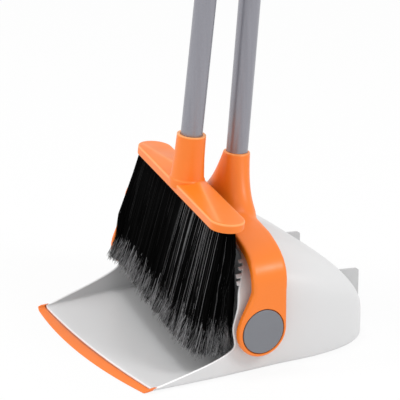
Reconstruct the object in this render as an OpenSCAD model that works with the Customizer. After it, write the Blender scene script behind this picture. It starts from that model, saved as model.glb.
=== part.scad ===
// Upright dust pan with a swinging yoke handle, and the long broom that is stored in it.
// Millimetres, +Z up, the mouth of the pan faces -Y. The origin is on the underside of the pan,
// in its middle plane and right under the pivot of the yoke.

/* [Pan] */
// Width over the side walls
pan_w = 244; // [210:1:280]
// Height of the hood at its mouth
hood_h = 119; // [105:1:135]
// From the pivot back to the rear of the hood
pan_back = 153; // [130:1:180]
// From the pivot forward to the front edge of the shell
pan_front = 112; // [100:1:130]
// Wall thickness of the shell
wall_t = 2.5; // [2:0.1:3.5]
// Radius between the floor and the side walls
corner_r = 5; // [4.5:0.5:10]
// Depth of the soft lip in the middle
lip_d = 18; // [14:1:26]
// Height of the front end of the side walls
tip_h = 4; // [3.5:0.5:8]
// Height of the side wall where the mouth turns upright
wall_h = 28.5; // [25:0.5:34]

/* [Pivot] */
// Height of the pivot above the ground
pivot_h = 47; // [44:1:54]
// Radius of the eye at the end of each arm
eye_r = 27; // [25:0.5:30]
// Radius of the round cap over the pivot
cap_r = 22.9; // [20:0.1:24.5]
// Radius of the pivot pin
pin_r = 7; // [5:0.5:8]
// Running clearance of the pin in the eye
pin_clear = 0.05; // [0.03:0.01:0.1]
// Thickness of the arms
arm_t = 9; // [8:0.5:11]

/* [Handle] */
// Height of the rim of the yoke socket
socket_top = 183; // [170:1:200]
// Distance of that rim behind the pivot
socket_back = 48; // [40:1:56]
// Lean of the handle towards the back
handle_lean = 5; // [2:0.5:8]
// Outer radius of the steel tubes
tube_r = 11; // [10:0.5:12]
// Wall of the steel tubes
tube_t = 0.8; // [0.6:0.1:1.2]
// From the socket rim to the top of the pan grip
handle_len = 650; // [600:10:720]

/* [Broom] */
// Place of the foot of the broom socket across the pan
broom_x = 1.6; // [-2:0.1:4]
// Place of that foot ahead of the pivot
broom_fore = 10.4; // [8:0.1:14]
// Height of that foot
broom_z = 165.6; // [163:0.1:172]
// Lean of the broom towards the back
broom_lean = 5.8; // [5:0.1:6.5]
// Lean of the broom to the right
broom_side = 1.3; // [0:0.1:2]
// Turn of the broom about its own axis
broom_turn = -9.7; // [-11:0.1:0]
// Length of the broom head
head_l = 248; // [220:1:252]
// Width of the broom head
head_w = 35; // [30:1:38]
// Height of the rim band of the head
band_h = 9; // [7:0.5:11]
// Free length of the bristles in the middle
bristle_l = 115; // [90:1:118]
// Their tips hang lower at the right end, and higher at the left, by this much
bristle_slant = 9; // [0:0.5:10]
// From the foot of the socket to the top of the broom grip
broom_len = 800; // [760:10:860]

/* [Hidden] */
$fn = 64;
half_w = pan_w/2;
broom_foot = [broom_x, -broom_fore, broom_z];
foot_h = 0.5;                       // the shell stands off the ground by this much
plan_y = 32;                        // where the side walls start to turn in
taper_y = -35;                      // ahead of this the side walls draw in towards the lip
taper = 4.5;                        // by this much in all
roof_y = -24;                       // where the roof starts to fall
roof_p = 2.1;                       // squareness of its fall
bulge = 1.8;                        // the side walls swell by this much behind the pivot
shoulder_h = 50;                    // where the side walls start to curve over
round_p = 3.7;                      // squareness of the hood, in plan and across
floor_n = 6;                        // points of the half section: floor, corner, wall, roof
corner_n = 4;
wall_n = 8;
roof_n = 12;
half_n = floor_n + corner_n + wall_n + roof_n;
ring_n = 16;                        // rings from the rim to the rear
boss_x = half_w + 3.4;              // outer face of the pivot boss
washer_t = 0.7;
arm_in = boss_x + washer_t + 0.3;   // inner face of the arms
arm_out = arm_in + arm_t;
arm_mid = arm_in + arm_t/2;
cap_seat = arm_out - 3;             // floor of the recess under the cap
head_seat = cap_seat - 2.8;         // floor of the counterbore of the pin head
pin_head_r = 12;
stop_r = 19.3;                      // mean radius of the stop lugs
stop_at = 140;                      // angle of the stops on the yoke
lug_turn = 20;                      // angle that each lug takes up
lug_gap = 0.7;                      // angle between two lugs that meet
swing = 80;                         // travel of the handle
eye_n = 6;                          // rings of the lower half of an eye
crown_n = 14;                       // rings of each half of the crown
crown_z = hood_h + 9;               // middle of the crown at its top
arm_top = pivot_h + 40;             // where an arm starts to bend over
crown_p = 3.4;                      // squareness of the crown
crown_half = 18;                    // half the width of the crown in the middle
crown_fore = 7;                     // its middle lies this far ahead of the axis of the handle
arm_half = 19;                      // half the width of the crown where it meets an arm
flare_l = (socket_top - crown_z + 1)/cos(handle_lean);  // from the rim down into the crown
flare_x = 27;                       // the socket widens by this much to each side
flare_y = 4.8;                      // and by this much to the front and the back
socket_r = tube_r + 2.6;
bore_l = 45;                        // depth of the sockets round the tubes
collar_r = tube_r + 1.3;
collar_l = 16;
clip_s = 280;                       // height of the clip along the broom
clip_l = 30;
clip_t = 3.2;
clip_gap = 0.35;                    // clearance of the broom in its clip
pan_joint = 305;                    // height of the joint above the socket rim
broom_joint = 395;                  // height of the joint above the foot of the broom
spigot_l = 30;
grip_l = 110;
grip_bore = grip_l - 36;            // the tube ends below the flattened top
hang_r = 6;
broom_socket_l = 46;
socket_rise = 3.8;                  // foot of the broom socket above the rim band
block_h = 5;                        // thickness of the block that holds the tufts
block_in = 4.5;                     // margin of the head round that block
bristle_w = 10.5;                   // half thickness of the bristles at the block
bristle_spread = 31;                // and at their tips
head_back = 3;                      // the bar of the head lies this far behind its socket
head_along = 1;                     // and this far to the right of it
comb_room = 7.5;                    // the bristles stay this far in front of the hood
yoke_room = 2.5;                      // and this far in front of the yoke

orange = "#FF8C3C";
lip_orange = "#FF8240";
white = "#EDEDED";
grey = "#83868D";
steel = "#8B8B92";
light_grey = "#C6C6C6";
black = "#1A1A1B";

// ---- curves and lofts ----

function clamp(v, low, high) = min(max(v, low), high);

// Slope of the curve through the points p at its point i
function slope(p, i) = let (a = max(i - 1, 0), b = min(i + 1, len(p) - 1))
    (p[b][1] - p[a][1])/(p[b][0] - p[a][0]);

function span(p, v, i = 0) = i >= len(p) - 2 || v < p[i + 1][0] ? i : span(p, v, i + 1);

// Smooth curve through the points p, read at v
function smooth(p, v) = let (
    i = span(p, v),
    d = p[i + 1][0] - p[i][0],
    u = clamp((v - p[i][0])/d, 0, 1),
    u2 = u*u,
    u3 = u2*u)
    (2*u3 - 3*u2 + 1)*p[i][1] + (u3 - 2*u2 + u)*slope(p, i)*d
    + (3*u2 - 2*u3)*p[i + 1][1] + (u3 - u2)*slope(p, i + 1)*d;

function middle(ring) = [for (k = [0:2]) min([for (q = ring) q[k]])/2 + max([for (q = ring) q[k]])/2];

// Closed skin through rings of equal length, with a fan over each end
module loft(rings) {
    n = len(rings[0]);
    m = len(rings);
    points = concat([for (ring = rings) each ring], [middle(rings[0]), middle(rings[m - 1])]);
    sides = [for (j = [0:m - 2], i = [0:n - 1]) let (k = (i + 1)%n, a = j*n, b = a + n)
        each [[a + i, a + k, b + k], [a + i, b + k, b + i]]];
    ends = [for (i = [0:n - 1]) let (k = (i + 1)%n, b = (m - 1)*n)
        each [[m*n, k, i], [m*n + 1, b + i, b + k]]];
    polyhedron(points, concat(sides, ends), convexity = 8);
}

// Half a section, mirrored into a closed ring
function both(half) = let (n = len(half) - 1)
    concat(half, [for (i = [n - 1:-1:1]) [-half[i][0], half[i][1], half[i][2]]]);

// ---- the shell ----

// Half width and height of the skin that lies t inside the outer one, at the station y
function plan_w(y, t) = let (v = clamp((y - 20)/50, 0, 1)) (half_w - t + bulge*v*v*(3 - 2*v)
    - taper*pow(clamp((taper_y - y)/(pan_front + taper_y), 0, 1.1), 1.4))
    *pow(1 - pow(clamp((y - plan_y)/(pan_back - t - plan_y), 0, 1), round_p), 1/round_p);
function roof_h(y, t) = (hood_h - t)
    *pow(1 - pow(clamp((y - roof_y)/(pan_back - t - roof_y), 0, 1), roof_p), 1/roof_p);

// Point i of the half section at the station y: floor, corner, wall and roof
function section(i, y, t) = let (
    w = plan_w(y, t),
    h = roof_h(y, t),
    f = foot_h + t,
    r = min(max(corner_r - t - 2*clamp((y + 60)/120, 0, 1), 0.4), (h - f)*0.3),
    m = min(shoulder_h, h*0.42),
    j = i - floor_n,
    k = j - corner_n,
    a = 90*(k - wall_n)/roof_n,
    q = pow(pow(abs(cos(a)), round_p) + pow(abs(sin(a)), round_p), -1/round_p))
    j <= 0 ? [(w - r)*i/floor_n, y, f]
    : k <= 0 ? [w - r + r*sin(90*j/corner_n), y, f + r - r*cos(90*j/corner_n)]
    : k <= wall_n ? [w, y, f + r + (m - f - r)*k/wall_n]
    : [w*cos(a)*q, y, m + (h - m)*sin(a)*q];

// Edge of the mouth: how far back it lies at each height
mouth = [[tip_h, -pan_front], [tip_h + 11.5, -0.57*pan_front], [tip_h + 17.9, -0.38*pan_front],
    [wall_h, -0.25*pan_front], [wall_h + 5, 2.2 - eye_r], [pivot_h + 4, 0.4 - eye_r],
    [pivot_h + 25, 5.8 - eye_r], [hood_h*0.75, 9 - eye_r], [hood_h*0.87, -8], [hood_h, 8]];

// The front edge bows forward a little in the middle
function bow(x) = 3*(1 - pow(x/half_w, 2));

function rim_y(i) = let (q = section(i, -pan_front, 0))
    q[2] <= tip_h ? -pan_front - bow(q[0]) : smooth(mouth, q[2]);

function shell_ring(j, t) = both([for (i = [0:half_n]) let (
    g = 1 - pow(1 - j/ring_n, 2.2),
    rear = pan_back - t - 0.3,
    y = rim_y(i) + (rear - rim_y(i))*g)
    section(i, y, t)]);

// A lug of the swing stop: a sector between the eye and the wall, angles from straight down
module lug(start, x0, x1) {
    translate([x0, 0, pivot_h]) rotate([0, 90, 0]) rotate([0, 0, start])
        rotate_extrude(angle = lug_turn) translate([stop_r - 1.7, 0]) square([3.4, x1 - x0]);
}

// Cylinder along X through the pivot, on the right-hand side
module across(x0, x1, r) {
    translate([x0, 0, pivot_h]) rotate([0, 90, 0]) cylinder(r = r, h = x1 - x0);
}

// One comb tooth, standing forward from the edge of the mouth at the angle a round the hood
module tooth(a, length) {
    q = pow(pow(cos(a), round_p) + pow(sin(a), round_p), -1/round_p);
    x = (half_w - wall_t/2)*cos(a)*q;
    z = shoulder_h + (hood_h - wall_t/2 - shoulder_h)*sin(a)*q;
    tilt = atan2(pow(sin(a), round_p - 1)*half_w, pow(cos(a), round_p - 1)*(hood_h - shoulder_h));
    translate([x, smooth(mouth, z) - length, z]) rotate([0, -tilt, 0])
        translate([-1.1, 0, -2.5]) cube([2.2, length + 3, 5]);
}

module pan_shell() {
    color(white) difference() {
        union() {
            loft(concat([for (j = [ring_n:-1:0]) shell_ring(j, wall_t)],
                [for (j = [0:ring_n]) shell_ring(j, 0)]));
            cylinder(r = 20, h = 2);
            for (side = [0, 1]) mirror([side, 0, 0]) {
                across(half_w - 1.5, boss_x, 16.5);
                across(half_w - wall_t - 3, half_w - 1, 12);
                lug(stop_at - lug_gap - lug_turn, half_w - 1, arm_in - 0.4);
                lug(stop_at + lug_turn + swing + lug_gap, half_w - 1, arm_in - 0.4);
                for (k = [0:3]) tooth(34.4 + 4.2*k, k == 1 ? 5 : 2.8);
            }
        }
        for (side = [0, 1]) mirror([side, 0, 0]) across(half_w - 10, boss_x + 1, pin_r);
    }
}

// Depth of the lip at the place x across the pan
function lip_depth(x) = 8 + (lip_d - 8)*(1 - pow(clamp(abs(x)/half_w, 0, 1), 2));

// Section of the lip at point i of the half section: butted on the shell, thin at the front
function lip_ring(i) = let (
    y = rim_y(i),
    low = section(i, y, 0),
    high = section(i, y, wall_t),
    n = (high - low)/wall_t,
    d = [0, -lip_depth(low[0]), 0])
    [low, low + 0.6*d - foot_h*n, low + d - foot_h*n, low + 1.02*d + (0.6 - foot_h)*n,
        low + d + (1.2 - foot_h)*n, low + 0.5*d + (wall_t*0.72)*n, high];

function flipped(ring) = [for (q = ring) [-q[0], q[1], q[2]]];

module front_lip() {
    last = floor_n + corner_n - 1;
    color(lip_orange) loft(concat([for (i = [last:-1:1]) flipped(lip_ring(i))],
        [for (i = [0:last]) lip_ring(i)]));
}

// Upright rib behind the hood; it carries the rear of the pan
foot_x = 57.5;
foot_back = pan_back + 5.7;
foot_top = 53.8;

module rear_foot(side) {
    color(light_grey) difference() {
        translate([side*foot_x - 1.5, 0, 0]) rotate([90, 0, 90]) linear_extrude(3) union() {
            polygon([[pan_back - 50, foot_h], [pan_back - 6, foot_h], [pan_back - 4, 0],
                [foot_back, 0], [foot_back, foot_top - 3], [foot_back - 2.6, foot_top],
                [pan_back - 50, foot_top + 6]]);
            translate([foot_back - 3, foot_top - 3]) circle(3);
        }
        loft([for (j = [6:ring_n]) shell_ring(j, 0)]);
    }
}

// ---- the pivots ----

module sided(side) {
    if (side > 0) children();
    else mirror([1, 0, 0]) children();
}

// Shoulder pin, pressed into the boss of the shell
module pivot_pin(side) {
    color(steel) sided(side) {
        across(half_w - wall_t - 3, head_seat + 0.1, pin_r);
        across(head_seat + 0.05, head_seat + 2.4, pin_head_r);
    }
}

module pivot_washer(side) {
    color(light_grey) sided(side) difference() {
        across(boss_x, boss_x + washer_t, 15);
        across(boss_x - 1, boss_x + 2, pin_r);
    }
}

// Round cap, snapped into the recess of the eye
module pivot_cap(side) {
    color(grey) sided(side) {
        across(cap_seat, arm_out - 0.1, cap_r);
        translate([arm_out - 0.2, 0, pivot_h]) rotate([0, 90, 0])
            cylinder(r1 = cap_r, r2 = cap_r - 0.7, h = 0.6);
    }
}

// ---- the yoke ----

arm_front = [[pivot_h, -eye_r], [pivot_h + 7, 1 - eye_r], [pivot_h + 16, 4.5 - eye_r],
    [pivot_h + 27, 10.2 - eye_r], [pivot_h + 40, 16 - eye_r], [pivot_h + 54, 18 - eye_r]];
arm_y = eye_r - arm_half + 0.5;         // middle of an arm at its top, front to back
crown_y = socket_back - (socket_top - crown_z)*tan(handle_lean) - crown_fore;

// Section of the yoke: a rounded bar, half a wide front to back, at c, with its normal (nx, nz)
function bar(c, a, nx, nz) = let (r = 2.6) [for (k = [0:3], b = [0, 45, 90]) let (
    u = (k == 0 || k == 3 ? 1 : -1)*max(a - r, 0.2) + r*cos(90*k + b),
    v = (k < 2 ? 1 : -1)*(arm_t/2 - r) + r*sin(90*k + b))
    [c[0] + v*nx, c[1] + u, c[2] + v*nz]];

function eye_bar(k) = let (a = 12 + 78*k/eye_n)
    bar([arm_mid, 0, pivot_h - eye_r*cos(a)], eye_r*sin(a), 1, 0);

function arm_bar(z) = let (front = smooth(arm_front, z))
    bar([arm_mid, (front + eye_r)/2, z], (eye_r - front)/2, 1, 0);

// How far out along the crown, 0 in the middle and 1 at the arm
function outward(x) = pow((sqrt(x*x + 400) - 20)/(sqrt(arm_mid*arm_mid + 400) - 20), 0.7);

function crown_bar(a) = let (
    q = pow(pow(cos(a), crown_p) + pow(sin(a), crown_p), -1/crown_p),
    x = arm_mid*cos(a)*q,
    nx = pow(cos(a), crown_p - 1)/arm_mid,
    nz = pow(sin(a), crown_p - 1)/(crown_z - arm_top),
    n = norm([nx, nz]),
    f = outward(x))
    bar([x, crown_y + (arm_y - crown_y)*f, arm_top + (crown_z - arm_top)*sin(a)*q],
        crown_half + (arm_half - crown_half)*f, nx/n, nz/n);

half_yoke = concat([for (k = [0:eye_n]) eye_bar(k)],
    [for (z = [pivot_h + 7:6.6:arm_top - 1]) arm_bar(z)],
    [for (k = [0:crown_n]) crown_bar(90*k/crown_n)]);

module on_handle(s) {
    translate([0, socket_back, socket_top]) rotate([-handle_lean, 0, 0]) translate([0, 0, s])
        children();
}

// Section of the socket, widening down into the crown
function flare_ring(s, cut = 0) = let (f = -s/flare_l)
    [for (a = [0:11.25:359]) [(socket_r - cut + flare_x*pow(f, 1.25))*cos(a),
        (socket_r - cut + flare_y*f*f)*sin(a) - crown_fore*f, s]];

module yoke() {
    color(orange) difference() {
        union() {
            loft(concat(half_yoke,
                [for (k = [len(half_yoke) - 2:-1:0]) flipped(half_yoke[k])]));
            on_handle(0) loft(concat([flare_ring(0, 0.7), flare_ring(-0.8)],
                [for (k = [1:9]) flare_ring(-flare_l*k/9)]));
            for (side = [0, 1]) mirror([side, 0, 0]) lug(stop_at, half_w + 0.4, arm_in + 0.5);
        }
        on_handle(-bore_l) cylinder(r = tube_r, h = bore_l + 5);
        for (side = [0, 1]) mirror([side, 0, 0]) {
            across(arm_in - 2, arm_out, pin_r + pin_clear);
            across(head_seat, arm_out, pin_head_r + 0.3);
            across(cap_seat, arm_out + 2, cap_r + 0.5);
        }
    }
}

// ---- tubes, joints and grips ----

module tube(s0, s1) {
    color(steel) translate([0, 0, s0]) difference() {
        cylinder(r = tube_r, h = s1 - s0);
        translate([0, 0, -1]) cylinder(r = tube_r - tube_t, h = s1 - s0 + 2);
    }
}

// Collar between two tubes, with a spigot into each
module tube_joint() {
    color(grey) union() {
        translate([0, 0, -spigot_l])
            cylinder(r = tube_r - tube_t, h = collar_l + 2*spigot_l);
        cylinder(r = collar_r, h = collar_l);
    }
}

// Hand grip with a flattened, drilled top
module grip() {
    r = tube_r;
    color(grey) difference() {
        rotate_extrude() polygon([[0, 0], [r + 2.2, 0], [r + 2.8, 1], [r + 2.8, 5], [r + 2, 7],
            [r + 3.4, 0.22*grip_l], [r + 3.8, 0.41*grip_l], [r + 3.2, 0.62*grip_l],
            [r + 2.6, grip_l - 26], [r + 3, grip_l - 16], [r + 1.8, grip_l - 9],
            [r - 1.5, grip_l - 3.5], [r - 6, grip_l - 0.7], [0, grip_l]]);
        translate([0, 0, -1]) cylinder(r = r, h = grip_bore + 1);
        for (side = [0, 1]) mirror([0, side, 0]) translate([-20, 7.5, grip_l - 28]) cube([40, 20, 40]);
        translate([0, 20, grip_l - 15]) rotate([90, 0, 0]) cylinder(r = hang_r, h = 40);
    }
}

module on_broom(s) {
    translate(broom_foot) rotate([-broom_lean, broom_side, 0]) translate([0, 0, s]) children();
}

clip_at = broom_foot + clip_s*[sin(broom_side)*cos(broom_lean), sin(broom_lean),
    cos(broom_side)*cos(broom_lean)];
ring_s = (clip_at[2] - socket_top)/cos(handle_lean);
ring_at = [0, socket_back + ring_s*sin(handle_lean), clip_at[2]];
reach = norm(clip_at - ring_at);
clip_turn = atan2(clip_at[0], ring_at[1] - clip_at[1]);

// Ring round the tube of the pan, web, and the open clip that holds the broom
module broom_clip() {
    r = tube_r + clip_gap;
    color(grey) difference() {
        union() {
            on_handle(ring_s - clip_l/2) cylinder(r = tube_r + clip_t, h = clip_l);
            translate(ring_at) rotate([0, 0, clip_turn]) translate([-4, 13 - reach, -clip_l/2 + 3])
                cube([8, reach - 26, clip_l - 6]);
            on_broom(clip_s - clip_l/2) difference() {
                cylinder(r = r + clip_t, h = clip_l);
                linear_extrude(90, center = true)
                    polygon([[0, 0], [-30, -28], [-30, -40], [30, -40], [30, -28]]);
            }
        }
        on_handle(ring_s - clip_l) cylinder(r = tube_r, h = 2*clip_l);
        on_broom(clip_s - clip_l) cylinder(r = r, h = 2*clip_l);
    }
}

// ---- the broom head ----

end_x = head_l/2 - head_w/2;            // middle of each round end
rim_z = -socket_rise;                   // top and bottom of the rim band
low_z = rim_z - band_h;

// Section of the head at the place x, b wide to each side; the crest runs over it aslant
function head_ring(x, b) = let (
    u = clamp(abs(x)/(head_l/2), 0, 1),
    rise = 0.3*b/head_w + (socket_rise + 2)*pow(1 - u, 1.3),
    y = b*(0.55 - 1.1*u),
    e = min(1, b/2))
    [[x, -b + e, low_z], [x, b - e, low_z], [x, b, low_z + 1], [x, b, rim_z - 1],
        [x, b - e, rim_z], [x, (b + y)/2, rim_z + 0.55*rise], [x, y, rim_z + rise],
        [x, (y - b)/2, rim_z + 0.6*rise], [x, -b + e, rim_z], [x, -b, rim_z - 1],
        [x, -b, low_z + 1]];

function head_end(side) = [for (a = [86, 76, 63, 48, 32, 16])
    head_ring(side*(end_x + head_w/2*sin(a)), head_w/2*cos(a))];

module capsule(h, margin) {
    linear_extrude(h) union() {
        square([2*end_x, head_w - 2*margin], center = true);
        for (side = [-1, 1]) translate([side*end_x, 0]) circle(head_w/2 - margin);
    }
}

module broom_head() {
    far = head_end(-1);
    near = head_end(1);
    color(orange) on_broom(0) rotate([0, 0, broom_turn]) difference() {
        union() {
            translate([head_along, head_back, 0])
                loft(concat(near, [for (k = [4:-1:-4]) head_ring(end_x*k/4, head_w/2)],
                    [for (k = [5:-1:0]) far[k]]));
            translate([0, 0, -2]) cylinder(r1 = 18, r2 = 17.2, h = 3);
            cylinder(r1 = 16.9, r2 = 15.2, h = broom_socket_l*0.5);
            translate([0, 0, broom_socket_l*0.5 - 1])
                cylinder(r1 = 15.25, r2 = 14.6, h = broom_socket_l*0.5 + 1);
        }
        translate([0, 0, 6]) cylinder(r = tube_r, h = broom_socket_l);
        translate([head_along, head_back, low_z - 1]) capsule(block_h + 1, block_in);
    }
}

module tuft_block() {
    color(black) on_broom(0) rotate([0, 0, broom_turn]) translate([head_along, head_back, low_z])
        capsule(block_h, block_in);
}

function turned(p) = [p[0]*cos(broom_turn) - p[1]*sin(broom_turn),
    p[0]*sin(broom_turn) + p[1]*cos(broom_turn), p[2]];
function leaned(p) = [p[0], p[1]*cos(broom_lean) + p[2]*sin(broom_lean),
    p[2]*cos(broom_lean) - p[1]*sin(broom_lean)];
function sided_over(p) = [p[0]*cos(broom_side) + p[2]*sin(broom_side), p[1],
    p[2]*cos(broom_side) - p[0]*sin(broom_side)];
function broom_point(p) = broom_foot + sided_over(leaned(turned(p)));

// How far back the bristles may reach at x and z: ahead of the hood, the arms and the crown
function hood_limit(x, z) = let (
    zr = shoulder_h + (hood_h - shoulder_h)
        *pow(1 - pow(clamp(abs(x)/half_w, 0, 0.97), round_p), 1/round_p),
    edge = smooth(mouth, zr) - comb_room)
    z > zr ? edge + 0.9*(z - zr) : edge - sin(broom_lean)*(zr - z);
function yoke_limit(x, z) = let (
    f = outward(x),
    front = crown_y - crown_half + (arm_y - arm_half - crown_y + crown_half)*f - yoke_room,
    top = arm_top + arm_t/2 + 1
        + (crown_z - arm_top)*pow(1 - pow(clamp(abs(x)/arm_mid, 0, 1), crown_p), 1/crown_p))
    z > top ? front + 0.9*(z - top) : front - sin(broom_lean)*(top - z);

// One level of the bristles, f from 0 at the block to 1 at the tips
function bristle_ring(f) = let (
    w = bristle_w + (bristle_spread - bristle_w)*pow(f, 0.9),
    l = end_x + 6 + 3*f)
    [for (a = [0:10:359]) let (
        c = cos(a),
        s = sin(a),
        off = w*sign(s)*pow(abs(s), 0.7),
        x = l*sign(c)*pow(abs(c), 0.6),
        drop = f*(bristle_l + bristle_slant*x/end_x),
        p = broom_point([x + head_along, off + head_back, low_z - drop]),
        front = p[1] - off - w,
        back = min(hood_limit(p[0], p[2]), yoke_limit(p[0], p[2])),
        rear = min(front + 2*w, back),
        ahead = min(front, rear - w/2))
        [p[0], ahead + (off + w)*(rear - ahead)/(2*w), p[2]]];

module bristles() {
    color(black) loft([for (k = [0:12]) bristle_ring(k/12)]);
}

// ---- assembly ----

pan_grip_s = handle_len - grip_l;
broom_grip_s = broom_len - grip_l;

pan_shell();
front_lip();
rear_foot(-1);  // rear_foot_left
rear_foot(1);  // rear_foot_right
pivot_pin(-1);  // pivot_pin_left
pivot_pin(1);  // pivot_pin_right
pivot_washer(-1);  // pivot_washer_left
pivot_washer(1);  // pivot_washer_right
yoke();
pivot_cap(-1);  // pivot_cap_left
pivot_cap(1);  // pivot_cap_right
on_handle(0) tube(-bore_l, pan_joint);  // pan_tube_lower
on_handle(pan_joint) tube_joint();  // pan_tube_joint
on_handle(0) tube(pan_joint + collar_l, pan_grip_s + grip_bore);  // pan_tube_upper
on_handle(pan_grip_s) grip();  // pan_grip
broom_clip();
broom_head();
tuft_block();
bristles();
on_broom(0) tube(6, broom_joint);  // broom_tube_lower
on_broom(broom_joint) tube_joint();  // broom_tube_joint
on_broom(0) tube(broom_joint + collar_l, broom_grip_s + grip_bore);  // broom_tube_upper
on_broom(broom_grip_s) grip();  // broom_grip
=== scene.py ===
"""Upright dust pan with a swinging yoke handle and the broom that is stored in it.
Everything is in the frame of the CAD part: +Z up, the mouth of the pan faces -Y.
Shapes are worked out in millimetres and put into meshes in metres."""

import math

import bmesh
import bpy
import numpy as np
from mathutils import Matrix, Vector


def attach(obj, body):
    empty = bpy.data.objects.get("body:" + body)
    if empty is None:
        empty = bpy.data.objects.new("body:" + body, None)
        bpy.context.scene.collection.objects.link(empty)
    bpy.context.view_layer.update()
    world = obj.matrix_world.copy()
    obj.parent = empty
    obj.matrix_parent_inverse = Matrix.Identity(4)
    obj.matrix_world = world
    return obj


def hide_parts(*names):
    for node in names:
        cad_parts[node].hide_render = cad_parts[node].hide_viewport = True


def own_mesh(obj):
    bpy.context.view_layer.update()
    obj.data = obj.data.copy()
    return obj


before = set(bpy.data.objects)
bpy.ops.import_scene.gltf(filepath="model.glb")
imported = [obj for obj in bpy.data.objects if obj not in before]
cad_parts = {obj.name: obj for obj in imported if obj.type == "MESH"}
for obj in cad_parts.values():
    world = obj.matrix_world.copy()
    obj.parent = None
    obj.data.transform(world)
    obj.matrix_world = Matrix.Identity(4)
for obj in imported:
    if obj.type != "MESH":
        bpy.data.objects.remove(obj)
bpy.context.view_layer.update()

# ---- The view ----
# A long lens, 2.7 m away, looks down on the near side of the pan and on its mouth.

lens = bpy.data.cameras.new("camera")
lens.sensor_width = 36
lens.lens = 241.2
lens.clip_end = 50
camera = bpy.data.objects.new("camera", lens)
bpy.context.collection.objects.link(camera)
camera.location = (2.1829, -1.2297, 1.1158)
camera.rotation_euler = (math.radians(90 - 21.3), 0, math.radians(60.5))
bpy.context.scene.camera = camera

# ---- Pan shell ----
# One injection moulding in white polypropylene, 2.5 mm thick: flat floor, small floor corners,
# side walls that rise into a rounded hood, open at the front. Tooling leaves a satin surface.

half_width = 122
hood_height = 119
wall_top = 50           # up to here the side walls are upright
rear = 153              # the shell runs from y = -front to y = rear
front = 112
wall = 2.5
ground_gap = 0.5
pivot_height = 47
eye_radius = 27
squareness = 3.7        # of plan and section; 2 would be round
roof_squareness = 2.1
floor_end, corner_end, wall_end, crest_at = 6, 10, 18, 30


def curve(points, at):
    """Smooth curve through the points (a, b), read at a: a cubic in each span, whose slope at a
    point is that of the line between its two neighbours."""
    p = np.array(points, float)
    before = np.maximum(np.arange(len(p)) - 1, 0)
    after = np.minimum(np.arange(len(p)) + 1, len(p) - 1)
    slope = (p[after, 1] - p[before, 1])/(p[after, 0] - p[before, 0])
    i = np.clip(np.searchsorted(p[:, 0], at, "right") - 1, 0, len(p) - 2)
    d = p[i + 1, 0] - p[i, 0]
    u = np.clip((at - p[i, 0])/d, 0, 1)
    return ((2*u**3 - 3*u**2 + 1)*p[i, 1] + (u**3 - 2*u**2 + u)*slope[i]*d
            + (3*u**2 - 2*u**3)*p[i + 1, 1] + (u**3 - u**2)*slope[i + 1]*d)


def superellipse(u, power):
    """Height of a quarter of a superellipse over u: 1 at u = 0, falling to 0 at u = 1."""
    return (1 - u**power)**(1/power)


def stretch(c, s, power):
    """Factor that carries the unit direction (c, s) out to a superellipse."""
    return (c**power + s**power)**(-1/power)


def half_plan(y, inset):
    """Half width at the station y: straight sides that draw in a little towards the lip, swell
    behind the pivot and close in a superellipse at the rear."""
    draw_from, swell_from, close_from = -35, 20, 32
    drawn = 4.5*np.clip((draw_from - y)/(front + draw_from), 0, 1.1)**1.4
    v = np.clip((y - swell_from)/50, 0, 1)
    swell = 1.8*v*v*(3 - 2*v)
    closing = np.clip((y - close_from)/(rear - inset - close_from), 0, 1)
    return (half_width - inset - drawn + swell)*superellipse(closing, squareness)


def roof(y, inset):
    """Height at the station y: a quarter of a superellipse that falls to the rear."""
    fall_from = -24
    fall = np.clip((y - fall_from)/(rear - inset - fall_from), 0, 1)
    return (hood_height - inset)*superellipse(fall, roof_squareness)


def shell_point(i, y, inset):
    """Point of the half section at the station y. i runs over the floor, round the corner, up
    the wall and along a superellipse to the crest. The radius r of the corner shrinks from 5 at
    the front to 3 at the rear, and the wall is lower where the roof is."""
    w, h, f = half_plan(y, inset), roof(y, inset), ground_gap + inset
    r = np.maximum(5 - inset - 2*np.clip((y + 60)/120, 0, 1), 0.4)
    r = np.minimum(r, (h - f)*0.3)
    m = np.minimum(wall_top, h*0.42)
    turn = np.radians(90)*np.clip((i - floor_end)/(corner_end - floor_end), 0, 1)
    up = np.clip((i - corner_end)/(wall_end - corner_end), 0, 1)
    a = np.radians(90)*np.clip(1 - (i - wall_end)/(crest_at - wall_end), 0, 1)
    c, s = np.sin(a), np.cos(a)
    q = stretch(c, s, squareness)
    x = np.where(i <= corner_end, w - r + r*np.sin(turn), w)
    x = np.where(i <= floor_end, (w - r)*i/floor_end, x)
    z = np.where(i <= corner_end, f + r - r*np.cos(turn), f + r + (m - f - r)*up)
    z = np.where(i <= floor_end, f, z)
    x = np.where(i > wall_end, w*c*q, x)
    z = np.where(i > wall_end, m + (h - m)*s*q, z)
    return np.stack([x, y + 0*x, z], -1)


sill = 4                # below this height the edge of the mouth is the front edge of the floor
mouth_bow = 7
mouth = [(sill, -front), (15.5, -63.8), (21.9, -42.6), (28.5, -28), (33.5, -24.8), (51, -26.6),
         (72, -21.2), (89.2, -18), (103.5, -8), (hood_height, 8)]


def mouth_edge(i):
    """How far back the edge of the mouth lies: a bowed front edge along the floor, then a curve
    of the height that climbs the side walls."""
    at = shell_point(i, np.full_like(i, -front), 0)
    bowed = -front - mouth_bow*(1 - (at[..., 0]/half_width)**2)
    return np.where(at[..., 2] <= sill, bowed, curve(mouth, at[..., 2]))


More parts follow.
